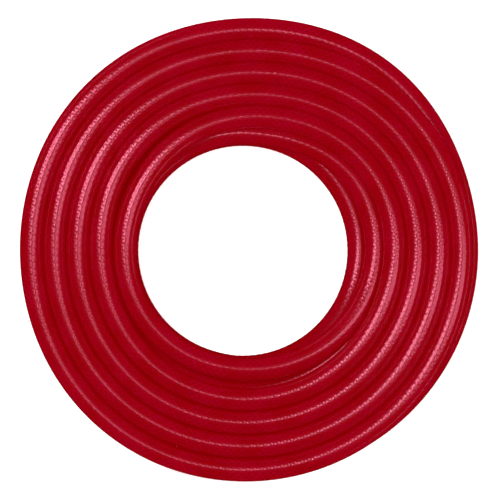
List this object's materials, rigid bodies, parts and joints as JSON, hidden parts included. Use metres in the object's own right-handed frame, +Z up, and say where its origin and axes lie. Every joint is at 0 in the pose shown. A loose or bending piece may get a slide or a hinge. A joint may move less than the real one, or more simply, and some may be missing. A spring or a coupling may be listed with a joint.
{
  "type": "coiled air hose",
  "caption": "Neat flat coil of braided, translucent soft plastic air hose with plain cut ends; liner, yarn braid and cover show at both ends.",
  "frame": {"origin": "on the base, at the centre of the coil's outline", "axes": "+Z up, square to the coil's flat side; +Y and +X lie in the base; seen from above, the hole is off centre towards -X and the top turns grow outwards clockwise"},
  "size_m": [0.2596, 0.2596, 0.052],
  "materials": {
    "pvc_cover": "glossy translucent red PVC, with the braid showing through as fine diamond dimples",
    "yarn_braid": "white polyester yarn, braided",
    "pvc_liner": "smooth soft PVC"
  },
  "bodies": {
    "root": {"hose_coil": "pvc_cover", "head_end_liner": "pvc_liner", "head_end_braid": "yarn_braid", "head_end_cover": "pvc_cover", "tail_end_liner": "pvc_liner", "tail_end_braid": "yarn_braid", "tail_end_cover": "pvc_cover"}
  },
  "joints": []
}
